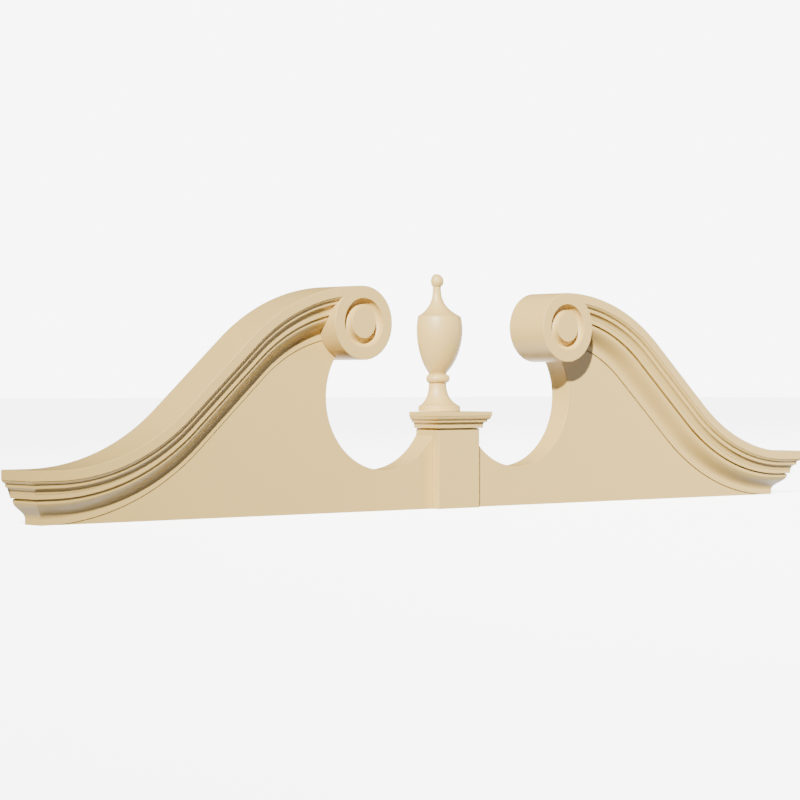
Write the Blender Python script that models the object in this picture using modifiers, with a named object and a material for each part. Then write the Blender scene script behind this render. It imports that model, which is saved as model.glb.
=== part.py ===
"""Rams head pediment: a broken pediment with two scrolled necks and an urn.

The pediment is flat at the back, where it meets the wall, and stands on a
straight base.  X runs along its length, -Y is the front, +Z is up.  The
origin is on the base, midway along the length and midway through the depth.

The top edge of a neck is one curve in the XZ plane: an arc that starts level
on top of the scroll, a straight, a counter arc that ends level, and a short
level end.  The crown and the bed moulding are profiles carried along it and
mitred back to the wall.
"""

import math

import bmesh
import bpy
from mathutils import Matrix, Vector

# Overall sizes, in metres
LENGTH = 1.524
PROJECTION = 0.0745
JOINT_GAP = 0.0003
CUT_MARGIN = 0.02
WELD_DISTANCE = 0.00002
FLAT_ANGLE = 0.001

# Neck curve, along its top edge
SCROLL_TOP = 0.3255
END_HEIGHT = 0.0732
SCROLL_X = 0.2055
RAKE_ANGLE = math.radians(41.5)
UPPER_ARC_SHARE = 0.495
LEVEL_END_MARGIN = 0.0013
ARC_STEPS = 12

# Scroll
SCROLL_RADIUS = 0.0531
SCROLL_SEGMENTS = 56
GROOVE_RADIUS = 0.0288
GROOVE_HALF_WIDTH = 0.0066
GROOVE_DEPTH = 0.0100
GROOVE_SEGMENTS = 16

# Crown moulding, from its top edge down
CROWN_HEIGHT = 0.0378
FASCIA_HEIGHT = 0.0138
FASCIA_QUIRK = 0.0014
OVOLO_HEIGHT = 0.0042
OVOLO_DEPTH = 0.0062
FILLET_HEIGHT = 0.0058
COVE_HEIGHT = 0.0062
COVE_DEPTH = 0.0043
COVE_FACE_HEIGHT = 0.0018
FOOT_FILLET_STEP = 0.0019

# Bed moulding, from the crown's underside down to the base
BED_SETBACK = 0.0039
BED_FLAT_HEIGHT = 0.0052
BED_OGEE_HEIGHT = 0.0227
BED_OGEE_ROUND_SHARES = (0.20, 0.43)
BED_OGEE_HOLLOW_SHARE = 0.44
BED_OGEE_STEPS = 8
BED_FOOT_PROUD = 0.0015

# Tympanum panel
PANEL_THICKNESS = 0.0365
SCOOP_X = 0.1340
SCOOP_Z = 0.1662
SCOOP_HALF_WIDTH = 0.1103
SCOOP_HALF_HEIGHT = 0.1068
SCOOP_SEGMENTS = 96

# Pedestal and its cap
PEDESTAL_WIDTH = 0.0816
PEDESTAL_PROJECTION = 0.0515
PEDESTAL_HOUSING = 0.0080
CAP_TOP = 0.1440
CAP_HEIGHT = 0.0245
CAP_OVERHANG = 0.0136
CAP_FASCIA_HEIGHT = 0.0065
CAP_QUIRK = 0.0004
CAP_OVOLO_HEIGHT = 0.0059
CAP_OVOLO_DEPTH = 0.0046
CAP_FILLET_HEIGHT = 0.0032
CAP_COVE_HEIGHT = 0.0042
CAP_COVE_DEPTH = 0.0044

# Urn finial, from its base up
URN_SEGMENTS = 40
URN_BASE_RADIUS = 0.0360
URN_BASE_HEIGHT = 0.0082
URN_BASE_ROUNDING = 0.0010
URN_STEM_FOOT_RADIUS = 0.0335
URN_STEM_RADIUS = 0.0150
URN_STEM_HEIGHT = 0.0344
URN_RING_RADIUS = 0.0203
URN_RING_HEIGHT = 0.0126
URN_NECK_HEIGHT = 0.0022
URN_NECK_RADIUS = 0.0156
URN_BODY_HEIGHT = 0.0846
URN_SHOULDER_RADIUS = 0.0368
URN_LID_RADIUS = 0.0360
URN_LID_HEIGHT = 0.0407
URN_SPIRE_RADIUS = 0.0071
URN_SPIRE_HEIGHT = 0.0043
URN_BALL_RADIUS = 0.0110

# Shapes of the urn's curves, as shares of the sizes above
LID_NECK_SHARE = 0.53
LID_RIM_SHARES = (0.52, 0.20)
LID_LIFT_SHARE = 0.02
BODY_UPPER_SHARES = (1.17, 0.25)
BODY_LOWER_SHARES = (1.05, 0.285)
STEM_NECK_SHARE = 0.47
STEM_FOOT_SHARES = (0.70, 0.20)
BALL_STEPS = 8
LID_STEPS = 8
BODY_STEPS = 10
RING_STEPS = 6
STEM_STEPS = 7

FINISH_COLOUR = (0.72, 0.62, 0.45, 1.0)
FINISH_ROUGHNESS = 0.5

# Places that follow from the sizes
HALF_LENGTH = LENGTH / 2
WALL_Y = PROJECTION / 2
SCROLL_Z = SCROLL_TOP - SCROLL_RADIUS
BED_TOP_DROP = CROWN_HEIGHT + JOINT_GAP
PANEL_END_X = HALF_LENGTH - (PROJECTION - PANEL_THICKNESS)
LOWER_ARC_X = PANEL_END_X - LEVEL_END_MARGIN

COLLECTION_NAME = "rams_head_pediment"
CUTTER_COLLECTION_NAME = "cutters"
SIDES = (("left", -1), ("right", 1))


def clear_scene():
    """Remove every object that the file opened with."""
    for item in list(bpy.data.objects):
        bpy.data.objects.remove(item, do_unlink=True)


def new_collection(name):
    """Add a collection to the scene."""
    collection = bpy.data.collections.new(name)
    bpy.context.scene.collection.children.link(collection)
    return collection


def finish_material(name):
    """Smooth painted finish of one piece."""
    material = bpy.data.materials.new(name + "_finish")
    material.use_nodes = True
    shader = material.node_tree.nodes["Principled BSDF"]
    shader.inputs["Base Color"].default_value = FINISH_COLOUR
    shader.inputs["Roughness"].default_value = FINISH_ROUGHNESS
    shader.inputs["Metallic"].default_value = 0.0
    return material


def add_piece(name, mesh, smooth_angle=None):
    """Make an object of the pediment from a mesh."""
    mesh.name = name
    mesh.materials.clear()
    mesh.materials.append(finish_material(name))
    if smooth_angle is not None:
        mesh.shade_smooth()
        mesh.set_sharp_from_angle(angle=smooth_angle)
    piece = bpy.data.objects.new(name, mesh)
    bpy.data.collections[COLLECTION_NAME].objects.link(piece)
    return piece


def add_cutter(name, mesh):
    """Make a hidden object that cuts or joins another."""
    mesh.name = name
    cutter = bpy.data.objects.new(name, mesh)
    cutter.hide_render = True
    cutter.display_type = "WIRE"
    bpy.data.collections[CUTTER_COLLECTION_NAME].objects.link(cutter)
    return cutter


def add_boolean(piece, cutter, operation):
    """Cut a piece with another object, or join the two."""
    modifier = piece.modifiers.new(cutter.name, "BOOLEAN")
    modifier.operation = operation
    modifier.solver = "EXACT"
    modifier.object = cutter


def add_weld(piece):
    """Close the hair-thin edges that a Boolean can leave."""
    modifier = piece.modifiers.new("weld", "WELD")
    modifier.merge_threshold = WELD_DISTANCE


def outline_mesh(points, low, high, along):
    """Extrude a closed outline from low to high along Y or X.

    An outline extruded along Y holds (x, z) points, one along X (y, z).
    """
    curve = bpy.data.curves.new("outline", "CURVE")
    curve.dimensions = "2D"
    curve.fill_mode = "BOTH"
    curve.extrude = (high - low) / 2
    spline = curve.splines.new("POLY")
    spline.points.add(len(points) - 1)
    for point, (across, up) in zip(spline.points, points):
        point.co = (across, up, 0.0, 1.0)
    spline.use_cyclic_u = True
    holder = bpy.data.objects.new("outline", curve)
    bpy.context.scene.collection.objects.link(holder)
    evaluated = holder.evaluated_get(bpy.context.evaluated_depsgraph_get())
    mesh = bpy.data.meshes.new_from_object(evaluated)
    bpy.data.objects.remove(holder, do_unlink=True)
    bpy.data.curves.remove(curve)

    middle = (high + low) / 2
    if along == "Y":
        placing = Matrix(((1, 0, 0, 0), (0, 0, -1, middle), (0, 1, 0, 0), (0, 0, 0, 1)))
    else:
        placing = Matrix(((0, 0, 1, middle), (1, 0, 0, 0), (0, 1, 0, 0), (0, 0, 0, 1)))
    mesh.transform(placing)
    shell = bmesh.new()
    shell.from_mesh(mesh)
    bmesh.ops.remove_doubles(shell, verts=shell.verts, dist=WELD_DISTANCE)
    bmesh.ops.dissolve_limit(
        shell, angle_limit=FLAT_ANGLE, verts=shell.verts, edges=shell.edges
    )
    bmesh.ops.recalc_face_normals(shell, faces=shell.faces)
    shell.to_mesh(mesh)
    shell.free()
    return mesh


def ellipse_points(centre_x, centre_z, half_width, half_height, segments):
    """Points round an ellipse."""
    points = []
    for index in range(segments):
        angle = 2 * math.pi * index / segments
        points.append((
            centre_x + half_width * math.cos(angle),
            centre_z + half_height * math.sin(angle),
        ))
    return points


def bezier_points(start, start_handle, end_handle, end, steps):
    """Points along a cubic curve, without its first point."""
    points = []
    for index in range(1, steps + 1):
        t = index / steps
        weights = ((1 - t) ** 3, 3 * t * (1 - t) ** 2, 3 * t * t * (1 - t), t ** 3)
        corners = (start, start_handle, end_handle, end)
        points.append(tuple(
            sum(weight * corner[axis] for weight, corner in zip(weights, corners))
            for axis in (0, 1)
        ))
    return points


def walk_profile(start_depth, members, steps=4):
    """Front line of a moulding, as (depth, drop) points from the top down.

    Each member is (kind, height, setback): a flat, a step back, an ovolo
    that bulges, or a cove that hollows.
    """
    depth, drop = start_depth, 0.0
    points = [(depth, drop)]
    for kind, height, setback in members:
        if kind in ("flat", "step"):
            depth, drop = depth - setback, drop + height
            points.append((depth, drop))
            continue
        for index in range(1, steps + 1):
            turn = math.pi / 2 * index / steps
            if kind == "ovolo":
                share_down, share_back = math.sin(turn), 1 - math.cos(turn)
            else:
                share_down, share_back = 1 - math.cos(turn), math.sin(turn)
            points.append((depth - setback * share_back, drop + height * share_down))
        depth, drop = points[-1]
    return points


def crown_profile():
    """Front line of the crown moulding."""
    members = [
        ("flat", FASCIA_HEIGHT, 0.0),
        ("step", 0.0, FASCIA_QUIRK),
        ("ovolo", OVOLO_HEIGHT, OVOLO_DEPTH),
        ("flat", FILLET_HEIGHT, 0.0),
        ("cove", COVE_HEIGHT, COVE_DEPTH),
        ("flat", COVE_FACE_HEIGHT, 0.0),
        ("step", 0.0, FOOT_FILLET_STEP),
    ]
    points = walk_profile(PROJECTION, members)
    points.append((points[-1][0], CROWN_HEIGHT))
    return points


def bed_profile():
    """Front line of the bed moulding, an ogee over a plain foot."""
    top_depth = crown_profile()[-1][0] - BED_SETBACK
    foot_depth = PANEL_THICKNESS + BED_FOOT_PROUD
    fall = top_depth - foot_depth
    inward, downward = BED_OGEE_ROUND_SHARES
    ogee_top = BED_TOP_DROP + BED_FLAT_HEIGHT
    ogee_foot = ogee_top + BED_OGEE_HEIGHT
    points = [(top_depth, BED_TOP_DROP), (top_depth, ogee_top)]
    points += bezier_points(
        (top_depth, ogee_top),
        (top_depth - inward * fall, ogee_top + downward * BED_OGEE_HEIGHT),
        (foot_depth, ogee_foot - BED_OGEE_HOLLOW_SHARE * BED_OGEE_HEIGHT),
        (foot_depth, ogee_foot),
        BED_OGEE_STEPS,
    )
    points.append((foot_depth, END_HEIGHT))
    return points


def neck_geometry():
    """Arc radii and straight length that join the scroll's top to the level end."""
    run = LOWER_ARC_X - SCROLL_X
    fall = SCROLL_TOP - END_HEIGHT
    level_loss = 1 - math.cos(RAKE_ANGLE)
    radii = (run * math.sin(RAKE_ANGLE) - fall * math.cos(RAKE_ANGLE)) / level_loss
    straight = (fall * math.sin(RAKE_ANGLE) - run * level_loss) / level_loss
    upper = radii * UPPER_ARC_SHARE
    return upper, radii - upper, straight


def neck_line(drop):
    """Right-hand neck curve at a drop below its top edge, from the scroll out."""
    upper, lower, _ = neck_geometry()
    upper_centre = (SCROLL_X, SCROLL_TOP - upper)
    lower_centre = (LOWER_ARC_X, END_HEIGHT + lower)
    points = []
    for index in range(ARC_STEPS + 1):
        turn = RAKE_ANGLE * index / ARC_STEPS
        points.append((
            upper_centre[0] + (upper - drop) * math.sin(turn),
            upper_centre[1] + (upper - drop) * math.cos(turn),
        ))
    for index in range(ARC_STEPS + 1):
        turn = RAKE_ANGLE * (1 - index / ARC_STEPS)
        points.append((
            lower_centre[0] - (lower + drop) * math.sin(turn),
            lower_centre[1] - (lower + drop) * math.cos(turn),
        ))
    return points


def spin_end(shell, end, centre_x, centre_z, angle):
    """Turn the end face about an axis along Y and return the new end."""
    result = bmesh.ops.spin(
        shell,
        geom=end,
        cent=(centre_x, 0.0, centre_z),
        axis=(0.0, 1.0, 0.0),
        angle=angle,
        steps=ARC_STEPS,
    )
    return result["geom_last"]


def extrude_end(shell, end):
    """Extrude the end face in place; return the new end and its vertices."""
    result = bmesh.ops.extrude_face_region(shell, geom=end)
    new_end = result["geom"]
    verts = [item for item in new_end if isinstance(item, bmesh.types.BMVert)]
    old_faces = [item for item in end if isinstance(item, bmesh.types.BMFace) and item.is_valid]
    bmesh.ops.delete(shell, geom=old_faces, context="FACES_ONLY")
    return new_end, verts


def neck_moulding_mesh(profile, back_depth, side):
    """Carry a profile from the scroll's centre to the end and back to the wall.

    The back of the moulding is back_depth from the wall; at 0 it lies on it.
    """
    first_drop, last_drop = profile[0][1], profile[-1][1]
    section = [(back_depth, first_drop)] + list(profile) + [(back_depth, last_drop)]
    upper, lower, straight = neck_geometry()
    shell = bmesh.new()
    verts = [
        shell.verts.new((side * SCROLL_X, WALL_Y - depth, SCROLL_TOP - drop))
        for depth, drop in section
    ]
    face = shell.faces.new(verts)
    end = [face] + list(face.edges) + list(face.verts)

    end = spin_end(shell, end, side * SCROLL_X, SCROLL_TOP - upper, side * RAKE_ANGLE)
    end, moved = extrude_end(shell, end)
    along = Vector((side * math.cos(RAKE_ANGLE), 0.0, -math.sin(RAKE_ANGLE)))
    bmesh.ops.translate(shell, verts=moved, vec=along * straight)
    end = spin_end(shell, end, side * LOWER_ARC_X, END_HEIGHT + lower, -side * RAKE_ANGLE)

    # Level end, with each point stopped on the mitre
    end, moved = extrude_end(shell, end)
    wall_at_top = back_depth == 0.0
    for vert in moved:
        depth = WALL_Y - vert.co.y
        if wall_at_top and depth < CUT_MARGIN:
            near_top = vert.co.z > END_HEIGHT - (first_drop + last_drop) / 2
            depth = profile[0][0] if near_top else profile[-1][0]
        vert.co.x = side * (HALF_LENGTH - PROJECTION + depth)

    # Return to the wall
    end, moved = extrude_end(shell, end)
    for vert in moved:
        vert.co.y = WALL_Y
    bmesh.ops.remove_doubles(shell, verts=shell.verts, dist=WELD_DISTANCE)
    if wall_at_top:
        join_wall_faces(shell)
    bmesh.ops.recalc_face_normals(shell, faces=shell.faces)
    mesh = bpy.data.meshes.new("neck")
    shell.to_mesh(mesh)
    shell.free()
    return mesh


def join_wall_faces(shell):
    """Make one face of the return's end and the last strip of the back."""
    on_wall = [
        edge for edge in shell.edges
        if len(edge.link_faces) == 2
        and all(
            abs(vert.co.y - WALL_Y) < WELD_DISTANCE
            for face in edge.link_faces
            for vert in face.verts
        )
        and any(len(face.verts) > 4 for face in edge.link_faces)
    ]
    bmesh.ops.dissolve_edges(shell, edges=on_wall)


def cylinder_mesh(centre_x, radius, depth):
    """Cylinder along Y, centred on the scroll's axis."""
    shell = bmesh.new()
    placing = Matrix((
        (1, 0, 0, centre_x),
        (0, 0, -1, 0),
        (0, 1, 0, SCROLL_Z),
        (0, 0, 0, 1),
    ))
    bmesh.ops.create_cone(
        shell,
        cap_ends=True,
        segments=SCROLL_SEGMENTS,
        radius1=radius,
        radius2=radius,
        depth=depth,
        matrix=placing,
    )
    mesh = bpy.data.meshes.new("cylinder")
    shell.to_mesh(mesh)
    shell.free()
    return mesh


def groove_cutter(label, side):
    """Ring that cuts the groove in a scroll's face, half an ellipse in section."""
    bpy.ops.mesh.primitive_torus_add(
        major_segments=SCROLL_SEGMENTS,
        minor_segments=GROOVE_SEGMENTS,
        major_radius=GROOVE_RADIUS,
        minor_radius=GROOVE_HALF_WIDTH,
        location=(0, 0, 0),
    )
    ring = bpy.context.object
    mesh = ring.data.copy()
    bpy.data.objects.remove(ring, do_unlink=True)
    deepen = Matrix.Diagonal((1.0, 1.0, GROOVE_DEPTH / GROOVE_HALF_WIDTH, 1.0))
    turn = Matrix.Rotation(math.pi / 2, 4, "X")
    place = Matrix.Translation((side * SCROLL_X, -WALL_Y, SCROLL_Z))
    mesh.transform(place @ turn @ deepen)
    return add_cutter("groove_" + label, mesh)


def build_necks():
    """Crown with its scroll, and the bed moulding, on each side."""
    for label, side in SIDES:
        scroll = add_cutter(
            "scroll_blank_" + label,
            cylinder_mesh(side * SCROLL_X, SCROLL_RADIUS, PROJECTION),
        )
        clearance = add_cutter(
            "scroll_clearance_" + label,
            cylinder_mesh(
                side * SCROLL_X,
                SCROLL_RADIUS + JOINT_GAP,
                PROJECTION + 2 * CUT_MARGIN,
            ),
        )
        crown = add_piece(
            "crown_scroll_" + label,
            neck_moulding_mesh(crown_profile(), 0.0, side),
            math.radians(30),
        )
        add_boolean(crown, scroll, "UNION")
        add_boolean(crown, groove_cutter(label, side), "DIFFERENCE")
        add_weld(crown)
        bed = add_piece(
            "bed_moulding_" + label,
            neck_moulding_mesh(bed_profile(), PANEL_THICKNESS + JOINT_GAP, side),
            math.radians(30),
        )
        add_boolean(bed, clearance, "DIFFERENCE")
        add_weld(bed)


def scoop_height_at(x):
    """Height of a scoop's lower edge at a distance from the middle."""
    share = (SCOOP_X - x) / SCOOP_HALF_WIDTH
    return SCOOP_Z - SCOOP_HALF_HEIGHT * math.sqrt(1 - share * share)


def housing_height():
    """Height of the notch that the pedestal's back part stands in."""
    return scoop_height_at(PEDESTAL_WIDTH / 2 + JOINT_GAP) - PEDESTAL_HOUSING


def build_panel():
    """Flat panel behind the mouldings, with its two scoops."""
    notch_x = PEDESTAL_WIDTH / 2 + JOINT_GAP
    right = [(notch_x, housing_height()), (notch_x, SCOOP_Z), (SCOOP_X, SCOOP_Z)]
    right.append((SCROLL_X, SCROLL_Z))
    right += neck_line(BED_TOP_DROP)
    right += [(PANEL_END_X, END_HEIGHT - BED_TOP_DROP), (PANEL_END_X, 0.0)]
    outline = right + [(-x, z) for x, z in reversed(right)]
    panel = add_piece(
        "tympanum_panel",
        outline_mesh(outline, WALL_Y - PANEL_THICKNESS, WALL_Y, "Y"),
        math.radians(30),
    )
    for label, side in SIDES:
        scoop = ellipse_points(
            side * SCOOP_X, SCOOP_Z, SCOOP_HALF_WIDTH, SCOOP_HALF_HEIGHT, SCOOP_SEGMENTS
        )
        cutter = add_cutter(
            "scoop_" + label,
            outline_mesh(scoop, -WALL_Y - CUT_MARGIN, WALL_Y + CUT_MARGIN, "Y"),
        )
        add_boolean(panel, cutter, "DIFFERENCE")
        clearance = bpy.data.objects["scroll_clearance_" + label]
        add_boolean(panel, clearance, "DIFFERENCE")
    add_weld(panel)


def build_pedestal():
    """Block in front of the panel, full depth above the panel's notch."""
    top = CAP_TOP - CAP_HEIGHT - JOINT_GAP
    front = WALL_Y - PEDESTAL_PROJECTION
    behind = WALL_Y - PANEL_THICKNESS - JOINT_GAP
    rebate = housing_height() + JOINT_GAP
    side_view = [
        (front, 0.0),
        (behind, 0.0),
        (behind, rebate),
        (WALL_Y, rebate),
        (WALL_Y, top),
        (front, top),
    ]
    half_width = PEDESTAL_WIDTH / 2
    add_piece("pedestal_block", outline_mesh(side_view, -half_width, half_width, "X"))


def cap_profile():
    """Front line of the cap moulding, as (overhang, drop) points."""
    members = [
        ("flat", CAP_FASCIA_HEIGHT, 0.0),
        ("step", CAP_QUIRK, CAP_QUIRK),
        ("ovolo", CAP_OVOLO_HEIGHT, CAP_OVOLO_DEPTH),
        ("flat", CAP_FILLET_HEIGHT, 0.0),
        ("cove", CAP_COVE_HEIGHT, CAP_COVE_DEPTH),
    ]
    points = walk_profile(CAP_OVERHANG, members)
    points.append((points[-1][0], CAP_HEIGHT))
    return points


def build_cap():
    """Cap moulding on the front and both sides of the pedestal, mitred."""
    half_width = PEDESTAL_WIDTH / 2
    right = [(half_width + out, CAP_TOP - drop) for out, drop in cap_profile()]
    outline = right + [(-x, z) for x, z in reversed(right)]
    front = WALL_Y - PEDESTAL_PROJECTION
    foremost = front - CAP_OVERHANG
    cap = add_piece(
        "pedestal_cap",
        outline_mesh(outline, foremost - CUT_MARGIN, WALL_Y, "Y"),
    )
    line = [(front - out, CAP_TOP - drop) for out, drop in cap_profile()]
    above, below = CAP_TOP + CUT_MARGIN, CAP_TOP - CAP_HEIGHT - CUT_MARGIN
    ahead = foremost - 2 * CUT_MARGIN
    waste = [(line[0][0], above)] + line + [(line[-1][0], below), (ahead, below), (ahead, above)]
    reach = half_width + CAP_OVERHANG + CUT_MARGIN
    cutter = add_cutter("cap_front", outline_mesh(waste, -reach, reach, "X"))
    add_boolean(cap, cutter, "DIFFERENCE")
    add_weld(cap)


def urn_profile():
    """Outer line of the urn from the ball's top down, as (radius, height)."""
    stem_top = URN_BASE_HEIGHT + URN_STEM_HEIGHT
    ring_top = stem_top + URN_RING_HEIGHT
    body_foot = ring_top + URN_NECK_HEIGHT
    shoulder = body_foot + URN_BODY_HEIGHT
    lid_top = shoulder + URN_LID_HEIGHT
    spire_top = lid_top + URN_SPIRE_HEIGHT
    ball_foot_angle = math.pi - math.asin(URN_SPIRE_RADIUS / URN_BALL_RADIUS)
    ball_centre = spire_top - URN_BALL_RADIUS * math.cos(ball_foot_angle)

    points = []
    for index in range(BALL_STEPS + 1):
        angle = ball_foot_angle * index / BALL_STEPS
        points.append((
            URN_BALL_RADIUS * math.sin(angle),
            ball_centre + URN_BALL_RADIUS * math.cos(angle),
        ))
    points.append((URN_SPIRE_RADIUS, lid_top))
    points += bezier_points(
        (URN_SPIRE_RADIUS, lid_top),
        (URN_SPIRE_RADIUS, lid_top - LID_NECK_SHARE * URN_LID_HEIGHT),
        (
            URN_LID_RADIUS - LID_RIM_SHARES[0] * (URN_LID_RADIUS - URN_SPIRE_RADIUS),
            shoulder + LID_RIM_SHARES[1] * URN_LID_HEIGHT,
        ),
        (URN_LID_RADIUS, shoulder + LID_LIFT_SHARE * URN_LID_HEIGHT),
        LID_STEPS,
    )
    points.append((URN_SHOULDER_RADIUS, shoulder))
    points += bezier_points(
        (URN_SHOULDER_RADIUS, shoulder),
        (
            BODY_UPPER_SHARES[0] * URN_SHOULDER_RADIUS,
            shoulder - BODY_UPPER_SHARES[1] * URN_BODY_HEIGHT,
        ),
        (
            BODY_LOWER_SHARES[0] * URN_SHOULDER_RADIUS,
            body_foot + BODY_LOWER_SHARES[1] * URN_BODY_HEIGHT,
        ),
        (URN_NECK_RADIUS, body_foot),
        BODY_STEPS,
    )
    ring_middle = (stem_top + ring_top) / 2
    for index in range(RING_STEPS + 1):
        angle = math.pi * index / RING_STEPS
        points.append((
            URN_STEM_RADIUS + (URN_RING_RADIUS - URN_STEM_RADIUS) * math.sin(angle),
            ring_middle + URN_RING_HEIGHT / 2 * math.cos(angle),
        ))
    flare = URN_STEM_FOOT_RADIUS - URN_STEM_RADIUS
    points += bezier_points(
        (URN_STEM_RADIUS, stem_top),
        (URN_STEM_RADIUS, stem_top - STEM_NECK_SHARE * URN_STEM_HEIGHT),
        (
            URN_STEM_FOOT_RADIUS - STEM_FOOT_SHARES[0] * flare,
            URN_BASE_HEIGHT + STEM_FOOT_SHARES[1] * URN_STEM_HEIGHT,
        ),
        (URN_STEM_FOOT_RADIUS, URN_BASE_HEIGHT + URN_BASE_ROUNDING / 2),
        STEM_STEPS,
    )
    points.append((URN_BASE_RADIUS - URN_BASE_ROUNDING / 2, URN_BASE_HEIGHT))
    points.append((URN_BASE_RADIUS, URN_BASE_HEIGHT - URN_BASE_ROUNDING))
    points.append((URN_BASE_RADIUS, 0.0))
    points.append((0.0, 0.0))
    return points


def build_urn():
    """Turned urn, cut off flat where it meets the wall."""
    profile = urn_profile()
    line = bpy.data.meshes.new("urn_line")
    edges = [(index, index + 1) for index in range(len(profile) - 1)]
    line.from_pydata([(radius, 0.0, height) for radius, height in profile], edges, [])
    urn = add_piece("urn_finial", line)
    urn.location = (0.0, WALL_Y, CAP_TOP + JOINT_GAP)
    screw = urn.modifiers.new("turn", "SCREW")
    screw.steps = URN_SEGMENTS
    screw.render_steps = URN_SEGMENTS
    screw.use_smooth_shade = True
    screw.use_merge_vertices = True
    screw.merge_threshold = WELD_DISTANCE

    height = profile[0][1]
    width = 4 * max(radius for radius, _ in profile)
    bpy.ops.mesh.primitive_cube_add(size=1)
    box = bpy.context.object
    mesh = box.data.copy()
    bpy.data.objects.remove(box, do_unlink=True)
    mesh.transform(Matrix.Diagonal((width, width, 2 * height, 1)))
    mesh.transform(Matrix.Translation((0.0, WALL_Y + width / 2, CAP_TOP + height / 2)))
    add_boolean(urn, add_cutter("wall_cut", mesh), "DIFFERENCE")
    add_weld(urn)


def main():
    """Build the whole pediment."""
    clear_scene()
    new_collection(COLLECTION_NAME)
    new_collection(CUTTER_COLLECTION_NAME)
    build_necks()
    build_panel()
    build_pedestal()
    build_cap()
    build_urn()


main()
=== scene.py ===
"""Dressed model of the rams head pediment.

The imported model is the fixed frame.  Each of its nodes is stood for by a
finer mesh of the same form, with rounded arrises, shadow joints and a
procedural paint finish, lit on a pale studio floor.
"""

import logging
import math
from collections.abc import Callable
from dataclasses import dataclass, field
from enum import Enum

import bmesh
import bpy
from mathutils import Matrix, Vector


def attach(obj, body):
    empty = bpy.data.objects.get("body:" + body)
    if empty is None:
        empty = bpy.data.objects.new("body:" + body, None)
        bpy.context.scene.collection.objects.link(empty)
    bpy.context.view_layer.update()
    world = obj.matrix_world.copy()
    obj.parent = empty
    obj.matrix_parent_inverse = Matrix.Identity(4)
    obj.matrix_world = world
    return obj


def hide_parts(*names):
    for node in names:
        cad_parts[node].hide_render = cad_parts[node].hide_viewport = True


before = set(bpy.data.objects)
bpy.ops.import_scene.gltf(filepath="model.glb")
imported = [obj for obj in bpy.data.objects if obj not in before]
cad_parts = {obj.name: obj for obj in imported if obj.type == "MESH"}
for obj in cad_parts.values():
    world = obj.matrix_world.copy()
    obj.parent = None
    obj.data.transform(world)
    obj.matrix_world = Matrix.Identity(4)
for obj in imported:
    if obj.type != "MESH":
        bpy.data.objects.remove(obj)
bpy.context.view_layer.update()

Point = tuple[float, float]
LOG = logging.getLogger("pediment")
WELD = 0.00001
HAIR = 0.0001
EASED = 0.0004
CUT_REACH = 0.1
SHARP_FROM = 0.8


class Side(Enum):
    """Half of the pediment, seen from the front."""

    LEFT = -1
    RIGHT = 1

    @property
    def label(self) -> str:
        """Word that ends a piece's name."""
        return self.name.lower()


class Member(Enum):
    """Kind of a moulding's member."""

    OVOLO = "ovolo"
    COVE = "cove"


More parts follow.
